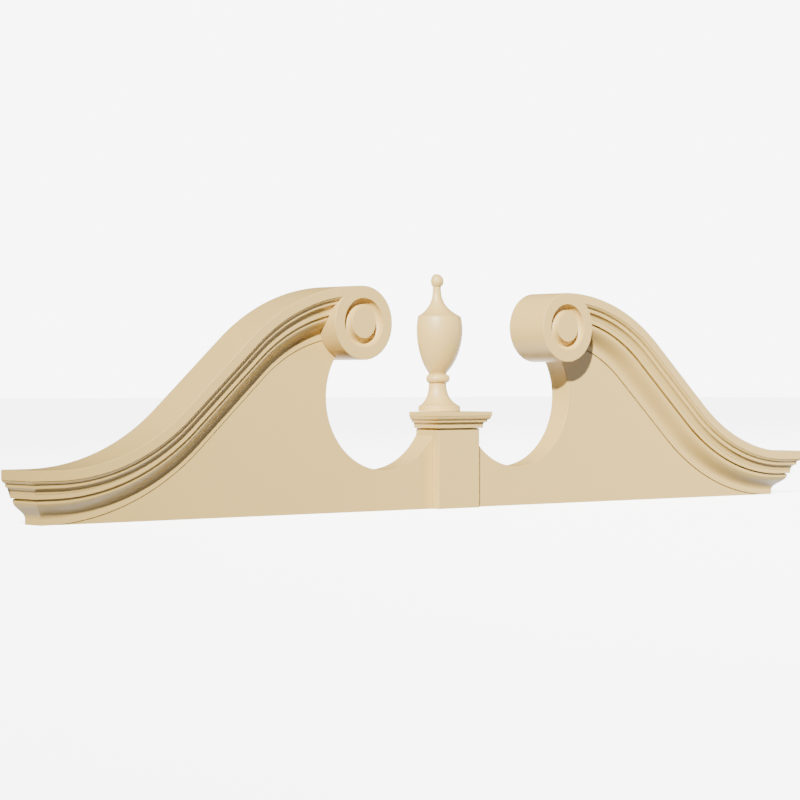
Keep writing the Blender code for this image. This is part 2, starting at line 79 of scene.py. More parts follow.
@dataclass(frozen=True)
class SatinPaint:
    """Smooth satin cream paint over moulded foam."""

    name: str
    colour: tuple[float, float, float] = (0.700, 0.476, 0.145)
    # Colour that hollows, creases and joints are darkened towards: painted shade.
    shade: tuple[float, float, float] = (0.20, 0.17, 0.12)
    roughness: float = 0.46
    specular: float = 0.6
    drift_shares: tuple[float, float] = (0.972, 1.028)
    speck_share: float = 0.05
    drift_scale: float = 5.0
    speck_scale: float = 160.0
    peel_scale: float = 900.0
    painted_shade_reach: float = 0.008
    painted_shade_range: tuple[float, float] = (0.20, 0.60)
    # Strongest share of the painted shade, where the hollows are deepest.
    hollow_share: float = 0.35
    arris_reach: float = 0.0016
    arris_range: tuple[float, float] = (0.35, 0.95)
    arris_share: float = 0.10
    arris_lift: float = 1.03
    gloss_spread: tuple[float, float] = (-0.05, 0.06)
    peel_height: float = 0.00006
    peel_strength: float = 0.35
    seed: float = 0.0

    def build(self) -> bpy.types.Material:
        """Make the paint's node material.

        Returns:
            The material, with its colour drift, sheen, peel, painted shade in its hollows and worn
            arrises.
        """
        material = bpy.data.materials.new(self.name)
        material.use_nodes = True
        nodes = material.node_tree.nodes
        links = material.node_tree.links
        shader = nodes["Principled BSDF"]
        shader.inputs["Specular IOR Level"].default_value = self.specular
        place = nodes.new("ShaderNodeTexCoord")

        drift = self._noise(nodes, links, place, self.drift_scale, 3.0, self.seed)
        fine = self._noise(nodes, links, place, self.speck_scale, 2.0, self.seed + 3.0)
        peel = self._noise(nodes, links, place, self.peel_scale, 2.0, self.seed + 7.0)

        tint = nodes.new("ShaderNodeMix")
        tint.data_type = "RGBA"
        tint.inputs["A"].default_value = self._scaled(self.colour, self.drift_shares[0])
        tint.inputs["B"].default_value = self._scaled(self.colour, self.drift_shares[1])
        links.new(drift.outputs["Fac"], tint.inputs["Factor"])

        speck = nodes.new("ShaderNodeMix")
        speck.data_type = "RGBA"
        speck.blend_type = "MULTIPLY"
        speck.inputs["Factor"].default_value = self.speck_share
        links.new(tint.outputs["Result"], speck.inputs["A"])
        links.new(fine.outputs["Color"], speck.inputs["B"])

        # Painted shade: ambient occlusion darkens hollows, creases and joints towards the shade colour.
        hollow = nodes.new("ShaderNodeAmbientOcclusion")
        hollow.samples = 6
        hollow.inputs["Distance"].default_value = self.painted_shade_reach
        depth = nodes.new("ShaderNodeMapRange")
        depth.inputs["From Min"].default_value = self.painted_shade_range[0]
        depth.inputs["From Max"].default_value = self.painted_shade_range[1]
        depth.inputs["To Min"].default_value = self.hollow_share
        depth.inputs["To Max"].default_value = 0.0
        links.new(hollow.outputs["AO"], depth.inputs["Value"])
        sunk = nodes.new("ShaderNodeMix")
        sunk.data_type = "RGBA"
        sunk.inputs["B"].default_value = (*self.shade, 1.0)
        links.new(depth.outputs["Result"], sunk.inputs["Factor"])
        links.new(speck.outputs["Result"], sunk.inputs["A"])

        arris = nodes.new("ShaderNodeAmbientOcclusion")
        arris.inside = True
        arris.samples = 4
        arris.inputs["Distance"].default_value = self.arris_reach
        edge = nodes.new("ShaderNodeMapRange")
        edge.inputs["From Min"].default_value = self.arris_range[0]
        edge.inputs["From Max"].default_value = self.arris_range[1]
        edge.inputs["To Min"].default_value = self.arris_share
        edge.inputs["To Max"].default_value = 0.0
        links.new(arris.outputs["AO"], edge.inputs["Value"])
        worn = nodes.new("ShaderNodeMix")
        worn.data_type = "RGBA"
        worn.inputs["B"].default_value = self._scaled(self.colour, self.arris_lift)
        links.new(edge.outputs["Result"], worn.inputs["Factor"])
        links.new(sunk.outputs["Result"], worn.inputs["A"])
        links.new(worn.outputs["Result"], shader.inputs["Base Color"])

        gloss = nodes.new("ShaderNodeMapRange")
        gloss.inputs["To Min"].default_value = self.roughness + self.gloss_spread[0]
        gloss.inputs["To Max"].default_value = self.roughness + self.gloss_spread[1]
        links.new(drift.outputs["Fac"], gloss.inputs["Value"])
        links.new(gloss.outputs["Result"], shader.inputs["Roughness"])

        bump = nodes.new("ShaderNodeBump")
        bump.inputs["Strength"].default_value = self.peel_strength
        bump.inputs["Distance"].default_value = self.peel_height
        links.new(peel.outputs["Fac"], bump.inputs["Height"])
        links.new(bump.outputs["Normal"], shader.inputs["Normal"])
        return material

    @staticmethod
    def _scaled(colour: tuple[float, float, float], share: float) -> tuple[float, float, float, float]:
        """Colour times a share, with full alpha."""
        red, green, blue = (min(1.0, part * share) for part in colour)
        return (red, green, blue, 1.0)

    @staticmethod
    def _noise(
        nodes: bpy.types.Nodes,
        links: bpy.types.NodeLinks,
        place: bpy.types.Node,
        scale: float,
        detail: float,
        seed: float,
    ) -> bpy.types.Node:
        """Add a noise texture in the object's own space.

        Args:
            nodes: Nodes of the material.
            links: Links of the material.
            place: Texture coordinate node.
            scale: Waves per metre, roughly.
            detail: Octaves.
            seed: Shift that gives each piece its own pattern.

        Returns:
            The noise texture node.
        """
        shift = nodes.new("ShaderNodeMapping")
        shift.inputs["Location"].default_value = (seed, seed * 0.7, seed * 1.3)
        noise = nodes.new("ShaderNodeTexNoise")
        noise.inputs["Scale"].default_value = scale
        noise.inputs["Detail"].default_value = detail
        links.new(place.outputs["Object"], shift.inputs["Vector"])
        links.new(shift.outputs["Vector"], noise.inputs["Vector"])
        return noise


@dataclass(frozen=True)
class StudioPaper:
    """Bright white paper under the part."""

    name: str = "studio_paper"
    value: float = 0.90
    cloud_spread: float = 0.01
    cloud_scale: float = 3.0
    roughness: float = 0.95
    specular: float = 0.1
    glow: float = 6.0

    def build(self) -> bpy.types.Material:
        """Make the paper's node material.

        Returns:
            The material, with a faint cloudiness.
        """
        material = bpy.data.materials.new(self.name)
        material.use_nodes = True
        nodes = material.node_tree.nodes
        links = material.node_tree.links
        shader = nodes["Principled BSDF"]
        cloud = nodes.new("ShaderNodeTexNoise")
        cloud.inputs["Scale"].default_value = self.cloud_scale
        shade = nodes.new("ShaderNodeMix")
        shade.data_type = "RGBA"
        shade.inputs["A"].default_value = (self.value, self.value, self.value, 1.0)
        low = self.value - self.cloud_spread
        shade.inputs["B"].default_value = (low, low, low, 1.0)
        links.new(cloud.outputs["Fac"], shade.inputs["Factor"])
        links.new(shade.outputs["Result"], shader.inputs["Base Color"])
        shader.inputs["Roughness"].default_value = self.roughness
        shader.inputs["Specular IOR Level"].default_value = self.specular
        shader.inputs["Emission Color"].default_value = (1.0, 1.0, 1.0, 1.0)
        shader.inputs["Emission Strength"].default_value = self.glow
        return material


@dataclass(frozen=True)
class NeckCurve:
    """Swan-neck line of the top edge: arc, straight, counter arc, level end."""

    half_length: float = 0.762
    projection: float = 0.0745
    wall_y: float = 0.03725
    scroll_x: float = 0.2055
    scroll_top: float = 0.3255
    end_height: float = 0.0732
    rake: float = math.radians(41.5)
    upper_share: float = 0.495
    lower_arc_x: float = 0.7227
    arc_steps: int = 44

    def radii(self) -> tuple[float, float, float]:
        """Find the arcs that join the scroll's top to the level end.

        Returns:
            Upper radius, lower radius and length of the straight.
        """
        run = self.lower_arc_x - self.scroll_x
        fall = self.scroll_top - self.end_height
        loss = 1 - math.cos(self.rake)
        both = (run * math.sin(self.rake) - fall * math.cos(self.rake)) / loss
        straight = (fall * math.sin(self.rake) - run * loss) / loss
        upper = both * self.upper_share
        return upper, both - upper, straight

    def line(self, drop: float) -> list[Point]:
        """Trace the right-hand line at a drop below the top edge.

        Args:
            drop: Distance below the top edge, square to it.

        Returns:
            Points (x, z) from the scroll's centre outwards.
        """
        upper, lower, _ = self.radii()
        points: list[Point] = []
        for index in range(self.arc_steps + 1):
            turn = self.rake * index / self.arc_steps
            points.append((
                self.scroll_x + (upper - drop) * math.sin(turn),
                self.scroll_top - upper + (upper - drop) * math.cos(turn),
            ))
        for index in range(self.arc_steps + 1):
            turn = self.rake * (1 - index / self.arc_steps)
            points.append((
                self.lower_arc_x - (lower + drop) * math.sin(turn),
                self.end_height + lower - (lower + drop) * math.cos(turn),
            ))
        return points

    def carry(self, profile: list[Point], back_depth: float, side: Side) -> bpy.types.Mesh:
        """Carry a profile along the neck and return it to the wall on a mitre.

        Args:
            profile: Front line as (depth from the wall, drop) from the top down.
            back_depth: Depth of the moulding's back; 0 lies on the wall.
            side: Half of the pediment.

        Returns:
            The closed moulding.
        """
        sign = side.value
        first, last = profile[0][1], profile[-1][1]
        section = [(back_depth, first), *profile, (back_depth, last)]
        upper, lower, straight = self.radii()
        shell = bmesh.new()
        face = shell.faces.new([
            shell.verts.new((sign * self.scroll_x, self.wall_y - depth, self.scroll_top - drop))
            for depth, drop in section
        ])
        end = [face, *face.edges, *face.verts]
        end = self._spin(shell, end, (sign * self.scroll_x, self.scroll_top - upper), sign * self.rake)
        end, moved = self._extrude(shell, end)
        along = Vector((sign * math.cos(self.rake), 0.0, -math.sin(self.rake)))
        bmesh.ops.translate(shell, verts=moved, vec=along * straight)
        end = self._spin(shell, end, (sign * self.lower_arc_x, self.end_height + lower), -sign * self.rake)
        end, moved = self._extrude(shell, end)
        for vert in moved:
            depth = self.wall_y - vert.co.y
            if back_depth == 0.0 and depth < self.projection / 4:
                high = vert.co.z > self.end_height - (first + last) / 2
                depth = profile[0][0] if high else profile[-1][0]
            vert.co.x = sign * (self.half_length - self.projection + depth)
        end, moved = self._extrude(shell, end)
        for vert in moved:
            vert.co.y = self.wall_y
        return Joinery.close(shell, "neck")

    def _spin(
        self, shell: bmesh.types.BMesh, end: list, centre: Point, angle: float
    ) -> list:
        """Turn the end face about an axis along Y.

        Args:
            shell: Mesh being built.
            end: The end face with its edges and vertices.
            centre: Place (x, z) of the axis.
            angle: Turn in radians.

        Returns:
            The new end.
        """
        result = bmesh.ops.spin(
            shell,
            geom=end,
            cent=(centre[0], 0.0, centre[1]),
            axis=(0.0, 1.0, 0.0),
            angle=angle,
            steps=self.arc_steps,
        )
        return result["geom_last"]

    @staticmethod
    def _extrude(shell: bmesh.types.BMesh, end: list) -> tuple[list, list]:
        """Extrude the end face in place.

        Args:
            shell: Mesh being built.
            end: The end face with its edges and vertices.

        Returns:
            The new end, and its vertices.
        """
        new_end = bmesh.ops.extrude_face_region(shell, geom=end)["geom"]
        verts = [item for item in new_end if isinstance(item, bmesh.types.BMVert)]
        old = [item for item in end if isinstance(item, bmesh.types.BMFace) and item.is_valid]
        bmesh.ops.delete(shell, geom=old, context="FACES_ONLY")
        return new_end, verts


class Joinery:
    """Mesh tools that the pieces share."""

    @staticmethod
    def close(shell: bmesh.types.BMesh, name: str) -> bpy.types.Mesh:
        """Weld a shell, turn its faces outwards and store it as a mesh."""
        bmesh.ops.remove_doubles(shell, verts=shell.verts, dist=WELD)
        bmesh.ops.recalc_face_normals(shell, faces=shell.faces)
        mesh = bpy.data.meshes.new(name)
        shell.to_mesh(mesh)
        shell.free()
        return mesh

    @staticmethod
    def prism(outline: list[Point], low: float, high: float, along_x: bool = False) -> bpy.types.Mesh:
        """Extrude a closed outline.

        Args:
            outline: Points (x, z), or (y, z) where it runs along X.
            low: Start of the extrusion.
            high: End of the extrusion.
            along_x: Extrude along X in place of Y.

        Returns:
            The closed prism.
        """
        shell = bmesh.new()
        if along_x:
            verts = [shell.verts.new((low, across, up)) for across, up in outline]
            step = Vector((high - low, 0.0, 0.0))
        else:
            verts = [shell.verts.new((across, low, up)) for across, up in outline]
            step = Vector((0.0, high - low, 0.0))
        face = shell.faces.new(verts)
        moved = bmesh.ops.extrude_face_region(shell, geom=[face])["geom"]
        far = [item for item in moved if isinstance(item, bmesh.types.BMVert)]
        bmesh.ops.translate(shell, verts=far, vec=step)
        return Joinery.close(shell, "prism")

    @staticmethod
    def plug(centre: Point, half_width: float, half_height: float, steps: int) -> bpy.types.Mesh:
        """Make an elliptical tool that cuts right through along Y."""
        outline = circle(centre, half_width, half_height, steps)
        return Joinery.prism(outline, -CUT_REACH, CUT_REACH)

    @staticmethod
    def lathe(profile: list[Point], steps: int, axis: Matrix) -> bpy.types.Mesh:
        """Turn a profile a full circle.

        Args:
            profile: Points (radius, height) from the top's centre down the outer side.
            steps: Steps round the circle.
            axis: Place and direction of the turning axis, which is its Z.

        Returns:
            The closed turned form.
        """
        shell = bmesh.new()
        verts = [shell.verts.new((radius, 0.0, height)) for radius, height in profile]
        edges = [shell.edges.new(pair) for pair in zip(verts, verts[1:])]
        bmesh.ops.spin(
            shell,
            geom=[*verts, *edges],
            cent=(0.0, 0.0, 0.0),
            axis=(0.0, 0.0, 1.0),
            angle=2 * math.pi,
            steps=steps,
            use_merge=True,
        )
        bmesh.ops.transform(shell, matrix=axis, verts=shell.verts)
        return Joinery.close(shell, "turned")

    @staticmethod
    def combine(mesh: bpy.types.Mesh, tools: list[tuple[bpy.types.Mesh, str]]) -> bpy.types.Mesh:
        """Cut or join a mesh with others, one after another.

        Args:
            mesh: The body.
            tools: Meshes, each with the Boolean operation to use.

        Returns:
            The finished mesh.
        """
        body = bpy.data.objects.new("body", mesh)
        bpy.context.scene.collection.objects.link(body)
        helpers = []
        for tool, operation in tools:
            helper = bpy.data.objects.new("tool", tool)
            bpy.context.scene.collection.objects.link(helper)
            helpers.append(helper)
            modifier = body.modifiers.new("cut", "BOOLEAN")
            modifier.operation = operation
            modifier.solver = "EXACT"
            modifier.object = helper
        evaluated = body.evaluated_get(bpy.context.evaluated_depsgraph_get())
        result = bpy.data.meshes.new_from_object(evaluated)
        for item in [body, *helpers]:
            bpy.data.objects.remove(item, do_unlink=True)
        shell = bmesh.new()
        shell.from_mesh(result)
        bmesh.ops.remove_doubles(shell, verts=shell.verts, dist=WELD)
        shell.to_mesh(result)
        shell.free()
        return result

    @staticmethod
    def is_sharp(edge: bmesh.types.BMEdge) -> bool:
        """Tell whether an edge's faces meet at a clear angle."""
        return edge.calc_face_angle(0.0) > SHARP_FROM

    @staticmethod
    def ease(
        mesh: bpy.types.Mesh, width: float, chosen: Callable[[bmesh.types.BMEdge], bool]
    ) -> bpy.types.Mesh:
        """Round chosen edges of a mesh.

        Args:
            mesh: The mesh.
            width: Width of the rounding.
            chosen: Says whether an edge is rounded.

        Returns:
            The eased mesh.
        """
        shell = bmesh.new()
        shell.from_mesh(mesh)
        edges = [edge for edge in shell.edges if Joinery.is_sharp(edge) and chosen(edge)]
        bmesh.ops.bevel(
            shell, geom=edges, offset=width, segments=3, profile=0.5, affect="EDGES"
        )
        shell.to_mesh(mesh)
        shell.free()
        return mesh


@dataclass
class Piece:
    """A dressed piece that stands for one node of the frame."""

    node: str
    finish: SatinPaint

    def place(self, mesh: bpy.types.Mesh, smooth_angle: float = 32.0) -> bpy.types.Object:
        """Put the mesh in the scene in place of its node.

        Args:
            mesh: The piece's mesh, in the frame's own space.
            smooth_angle: Edges flatter than this, in degrees, are shaded smooth.

        Returns:
            The placed object.
        """
        name = self.node + "_dressed"
        mesh.name = name
        mesh.materials.clear()
        mesh.materials.append(self.finish.build())
        mesh.shade_smooth()
        mesh.set_sharp_from_angle(angle=math.radians(smooth_angle))
        placed = bpy.data.objects.new(name, mesh)
        bpy.context.scene.collection.objects.link(placed)
        even = placed.modifiers.new("even_shading", "WEIGHTED_NORMAL")
        even.keep_sharp = True
        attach(placed, "root")
        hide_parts(self.node)
        LOG.info("%s: %d faces", name, len(mesh.polygons))
        return placed


def round_corner(before: Point, corner: Point, after: Point, radius: float, steps: int = 4) -> list[Point]:
    """Round one corner of a profile.

    Args:
        before: Point before the corner.
        corner: The corner.
        after: Point after the corner.
        radius: Distance from the corner at which the rounding starts.
        steps: Pieces of the rounding.

    Returns:
        Points of a curve that takes the corner's place.
    """
    a, b, c = Vector(before), Vector(corner), Vector(after)
    start = b + (a - b).normalized() * radius
    stop = b + (c - b).normalized() * radius
    points: list[Point] = []
    for index in range(steps + 1):
        t = index / steps
        spot = start * (1 - t) ** 2 + b * (2 * t * (1 - t)) + stop * t ** 2
        points.append((spot.x, spot.y))
    return points


def bezier(a: Point, b: Point, c: Point, d: Point, steps: int) -> list[Point]:
    """Points along a cubic curve, without its first point."""
    points: list[Point] = []
    for index in range(1, steps + 1):
        t = index / steps
        weights = ((1 - t) ** 3, 3 * t * (1 - t) ** 2, 3 * t * t * (1 - t), t ** 3)
        points.append((
            sum(w * p[0] for w, p in zip(weights, (a, b, c, d))),
            sum(w * p[1] for w, p in zip(weights, (a, b, c, d))),
        ))
    return points


def quarter(start: Point, end: Point, member: Member, steps: int = 10) -> list[Point]:
    """Points of a quarter-round member, without its first point.

    Args:
        start: Upper point (depth, drop).
        end: Lower point (depth, drop).
        member: Ovolo, which bulges, or cove, which hollows.
        steps: Pieces of the curve.

    Returns:
        Points (depth, drop).
    """
    back, down = start[0] - end[0], end[1] - start[1]
    points: list[Point] = []
    for index in range(1, steps + 1):
        turn = math.pi / 2 * index / steps
        if member is Member.OVOLO:
            share_down, share_back = math.sin(turn), 1 - math.cos(turn)
        else:
            share_down, share_back = 1 - math.cos(turn), math.sin(turn)
        points.append((start[0] - back * share_back, start[1] + down * share_down))
    return points


def circle(centre: Point, half_width: float, half_height: float, steps: int) -> list[Point]:
    """Points round an ellipse."""
    return [
        (
            centre[0] + half_width * math.cos(2 * math.pi * index / steps),
            centre[1] + half_height * math.sin(2 * math.pi * index / steps),
        )
        for index in range(steps)
    ]


@dataclass
class CrownScroll(Piece):
    """Crown moulding of one neck, with the scroll that ends it."""

    side: Side = Side.LEFT
    curve: NeckCurve = field(default_factory=NeckCurve)
    height: float = 0.0378
    fascia: float = 0.0138
    arris: float = 0.0009
    scroll_radius: float = 0.0531
    quirk: Point = (0.0012, 0.0001)
    ovolo: Point = (0.0059, 0.0042)
    fillet: Point = (0.0064, 0.0097)
    cove: Point = (0.0130, 0.0172)
    foot_top: Point = (0.0137, 0.0062)
    foot_back: float = 0.0138
    foot_ease: float = 0.0005
    groove_radius: float = 0.0288
    groove_width: float = 0.0066
    groove_depth: float = 0.0100
    groove_steps: int = 24
    lip: tuple[Point, Point] = ((0.0004, 0.0), (0.0001, 0.0002))
    lip_depth: float = 0.0005
    steps: int = 144

    def profile(self) -> list[Point]:
        """Front line of the crown, as (depth, drop) from the top down."""
        out, below = self.curve.projection, self.fascia
        points = round_corner((0.0, 0.0), (out, 0.0), (out, below), self.arris)
        points += round_corner((out, 0.0), (out, below), (0.0, below), EASED, 3)
        points.append((out - self.quirk[0], below + self.quirk[1]))
        points += quarter(points[-1], (out - self.ovolo[0], below + self.ovolo[1]), Member.OVOLO)
        fillet = (out - self.fillet[0], below + self.fillet[1])
        points += round_corner(points[-1], fillet, (0.0, fillet[1]), EASED, 3)
        points.append((fillet[0] - EASED, fillet[1] + HAIR))
        points += quarter(points[-1], (out - self.cove[0], below + self.cove[1]), Member.COVE)
        points.append((out - self.foot_top[0], self.height - self.foot_top[1]))
        foot = (out - self.foot_back, self.height)
        points += round_corner(points[-1], foot, (0.0, self.height), self.foot_ease, 3)
        return points

    def drum(self) -> bpy.types.Mesh:
        """Turn the scroll's drum, with the groove in its face."""
        deep = self.curve.projection
        inner = self.groove_radius - self.groove_width
        outer = self.groove_radius + self.groove_width
        outline = [(0.0, deep)]
        outline += [(inner - wide, deep - down) for wide, down in self.lip]
        for index in range(self.groove_steps + 1):
            turn = math.pi * index / self.groove_steps
            outline.append((
                self.groove_radius - self.groove_width * math.cos(turn),
                deep - self.lip_depth - self.groove_depth * math.sin(turn),
            ))
        outline += [(outer + wide, deep - down) for wide, down in reversed(self.lip)]
        outline += round_corner(
            outline[-1], (self.scroll_radius, deep), (self.scroll_radius, 0.0), self.arris
        )
        outline += [(self.scroll_radius, 0.0), (0.0, 0.0)]
        return Joinery.lathe(outline, self.steps, self.axis())

    def axis(self) -> Matrix:
        """Place of the scroll's axis, pointing out of the wall."""
        spot = Vector((
            self.side.value * self.curve.scroll_x,
            self.curve.wall_y,
            self.curve.scroll_top - self.scroll_radius,
        ))
        return Matrix.Translation(spot) @ Matrix.Rotation(math.pi / 2, 4, "X")

    def build(self) -> bpy.types.Object:
        """Clear the crown inside the drum, join the two and place the piece."""
        run = self.curve.carry(self.profile(), 0.0, self.side)
        middle = (self.side.value * self.curve.scroll_x, self.curve.scroll_top - self.scroll_radius)
        inside = (self.groove_radius + self.groove_width + self.scroll_radius) / 2
        core = Joinery.plug(middle, inside, inside, self.steps)
        mesh = Joinery.combine(run, [(core, "DIFFERENCE"), (self.drum(), "UNION")])
        return self.place(mesh)


@dataclass
class BedMoulding(Piece):
    """Ogee moulding under the crown."""

    side: Side = Side.LEFT
    curve: NeckCurve = field(default_factory=NeckCurve)
    top_drop: float = 0.0381
    top_depth: float = 0.0568
    foot_depth: float = 0.0380
    foot_drop: float = 0.0732
    back_depth: float = 0.0368
    joint_depth: float = 0.0024
    joint_height: float = 0.0007
    joint_ease: float = 0.0003
    ogee_top: float = 0.0052
    ogee_foot: float = 0.0279
    round_shares: tuple[float, float] = (0.20, 0.43)
    hollow_share: float = 0.44
    ogee_steps: int = 26
    clearance: float = 0.0534
    scroll_z: float = 0.2724
    steps: int = 144

    def profile(self) -> list[Point]:
        """Front line of the bed, as (depth, drop) from its shadow joint down."""
        top, foot = self.top_depth, self.foot_depth
        fall = top - foot
        ogee = (self.top_drop + self.ogee_top, self.top_drop + self.ogee_foot)
        tall = ogee[1] - ogee[0]
        sunk, joint_foot = top - self.joint_depth, self.top_drop + self.joint_height
        points = [(sunk, self.top_drop), (sunk, joint_foot)]
        points += round_corner(points[-1], (top, joint_foot), (top, ogee[0]), self.joint_ease, 3)
        points.append((top, ogee[0]))
        points += bezier(
            (top, ogee[0]),
            (top - self.round_shares[0] * fall, ogee[0] + self.round_shares[1] * tall),
            (foot, ogee[1] - self.hollow_share * tall),
            (foot, ogee[1]),
            self.ogee_steps,
        )
        points += round_corner(
            points[-1], (foot, self.foot_drop), (self.back_depth, self.foot_drop), EASED, 3
        )
        return points

    def build(self) -> bpy.types.Object:
        """Carry the ogee, clear it round the scroll and place the piece."""
        run = self.curve.carry(self.profile(), self.back_depth, self.side)
        middle = (self.side.value * self.curve.scroll_x, self.scroll_z)
        drum = Joinery.plug(middle, self.clearance, self.clearance, self.steps)
        return self.place(Joinery.combine(run, [(drum, "DIFFERENCE")]))


@dataclass
class Tympanum(Piece):
    """Flat panel behind the mouldings, with its two scoops."""

    curve: NeckCurve = field(default_factory=NeckCurve)
    thickness: float = 0.0365
    top_drop: float = 0.0381
    joint_drop: float = 0.0732
    scoop: tuple[float, float, float, float] = (0.1340, 0.1662, 0.1103, 0.1068)
    pedestal_side: float = 0.0411
    notch: float = 0.1006
    clearance: float = 0.0534
    scroll_z: float = 0.2724
    slit: Point = (0.0001, 0.0011)
    slit_depth: float = 0.0015
    slit_overshoot: float = 0.002
    scoop_ease: float = 0.0006
    rim_slack: float = 0.002
    scoop_steps: int = 256
    drum_steps: int = 144

    def outline(self) -> list[Point]:
        """Outline of the panel before its scoops are cut."""
        end_x = self.curve.half_length - self.curve.projection + self.thickness
        right: list[Point] = [
            (self.pedestal_side, self.notch),
            (self.pedestal_side, self.scoop[1]),
            (self.scoop[0], self.scoop[1]),
            (self.curve.scroll_x, self.scroll_z),
        ]
        right += self.curve.line(self.top_drop)
        right += [(end_x, self.curve.end_height - self.top_drop), (end_x, 0.0)]
        return right + [(-x, z) for x, z in reversed(right)]

    def build(self) -> bpy.types.Object:
        """Cut the scoops, the scrolls' room and the shadow joint, and place the panel."""
        wall = self.curve.wall_y
        front = wall - self.thickness
        mesh = Joinery.prism(self.outline(), front, wall)
        tools: list[tuple[bpy.types.Mesh, str]] = []
        for side in Side:
            centre = (side.value * self.scoop[0], self.scoop[1])
            hole = Joinery.plug(centre, self.scoop[2], self.scoop[3], self.scoop_steps)
            middle = (side.value * self.curve.scroll_x, self.scroll_z)
            drum = Joinery.plug(middle, self.clearance, self.clearance, self.drum_steps)
            ahead = self.thickness + self.slit_overshoot
            line = [(ahead, self.joint_drop + drop) for drop in self.slit]
            slit = self.curve.carry(line, self.thickness - self.slit_depth, side)
            tools += [(hole, "DIFFERENCE"), (drum, "DIFFERENCE"), (slit, "DIFFERENCE")]
        carved = Joinery.combine(mesh, tools)
        return self.place(Joinery.ease(carved, self.scoop_ease, self.on_scoop))

    def on_scoop(self, edge: bmesh.types.BMEdge) -> bool:
        """Tell whether an edge runs round a scoop, on the front."""
        front = self.curve.wall_y - self.thickness
        for vert in edge.verts:
            across = (abs(vert.co.x) - self.scoop[0]) / self.scoop[2]
            up = (vert.co.z - self.scoop[1]) / self.scoop[3]
            if abs(vert.co.y - front) > HAIR or abs(math.hypot(across, up) - 1) > self.rim_slack:
                return False
        return True


@dataclass
class Pedestal(Piece):
    """Plain block that carries the cap and the urn."""

    half_width: float = 0.0408
    projection: float = 0.0515
    wall_y: float = 0.03725
    panel: float = 0.0368
    rebate: float = 0.1009
    top: float = 0.1192
    joint: float = 0.0007
    joint_depth: float = 0.0016
    edge_ease: float = 0.0007
    neck_root: float = 0.01

    @staticmethod
    def above_ground(edge: bmesh.types.BMEdge) -> bool:
        """Tell whether an edge isn't on the ground."""
        return edge.verts[0].co.z + edge.verts[1].co.z > HAIR

    def build(self) -> bpy.types.Object:
        """Extrude the block's side view, ease it, set its neck on top and place it."""
        front = self.wall_y - self.projection
        side_view = [
            (front, 0.0),
            (self.wall_y - self.panel, 0.0),
            (self.wall_y - self.panel, self.rebate),
            (self.wall_y, self.rebate),
            (self.wall_y, self.top - self.joint),
            (front, self.top - self.joint),
        ]
        block = Joinery.prism(side_view, -self.half_width, self.half_width, along_x=True)
        eased = Joinery.ease(block, self.edge_ease, self.above_ground)
        side, root = self.half_width - self.joint_depth, self.top - self.neck_root
        neck = Joinery.prism(
            [(-side, root), (side, root), (side, self.top), (-side, self.top)],
            front + self.joint_depth,
            self.wall_y,
        )
        return self.place(Joinery.combine(eased, [(neck, "UNION")]))


@dataclass
class PedestalCap(Piece):
    """Moulded cap on the front and both sides of the pedestal."""

    half_width: float = 0.0408
    front_y: float = -0.01425
    wall_y: float = 0.03725
    top: float = 0.1440
    height: float = 0.0245
    overhang: float = 0.0136
    arris: float = 0.0009
    fascia: float = 0.0065
    quirk: Point = (0.0008, 0.0067)
    ovolo: Point = (0.0050, 0.0124)
    fillet: Point = (0.0051, 0.0157)
    cove_top: Point = (0.0060, 0.0159)
    cove: Point = (0.0097, 0.0197)
    foot_back: float = 0.0098
    foot_ease: float = 0.0005

    def profile(self) -> list[Point]:
        """Front line of the cap, as (overhang, drop) from the top down."""
        out, below = self.overhang, self.fascia
        points = round_corner((0.0, 0.0), (out, 0.0), (out, below), self.arris)
        points += round_corner((out, 0.0), (out, below), (0.0, below), EASED, 3)
        points.append((out - self.quirk[0], self.quirk[1]))
        points += quarter(points[-1], (out - self.ovolo[0], self.ovolo[1]), Member.OVOLO)
        fillet = (out - self.fillet[0], self.fillet[1])
        points += round_corner(points[-1], fillet, (0.0, fillet[1]), EASED, 3)
        points.append((out - self.cove_top[0], self.cove_top[1]))
        points += quarter(points[-1], (out - self.cove[0], self.cove[1]), Member.COVE)
        foot = (out - self.foot_back, self.height)
        points += round_corner(points[-1], foot, (0.0, self.height), self.foot_ease, 3)
        return points

    def build(self) -> bpy.types.Object:
        """Run the profile round three sides, mitred, and place the cap."""
        shell = bmesh.new()
        rings = []
        for out, drop in self.profile():
            wide, ahead, up = self.half_width + out, self.front_y - out, self.top - drop
            corners = ((-wide, self.wall_y), (-wide, ahead), (wide, ahead), (wide, self.wall_y))
            rings.append([shell.verts.new((x, y, up)) for x, y in corners])
        for upper, lower in zip(rings, rings[1:]):
            for index in range(3):
                shell.faces.new((upper[index], upper[index + 1], lower[index + 1], lower[index]))
        shell.faces.new(rings[0])
        shell.faces.new(rings[-1])
        shell.faces.new([ring[0] for ring in rings] + [ring[3] for ring in reversed(rings)])
        return self.place(Joinery.close(shell, "cap"))


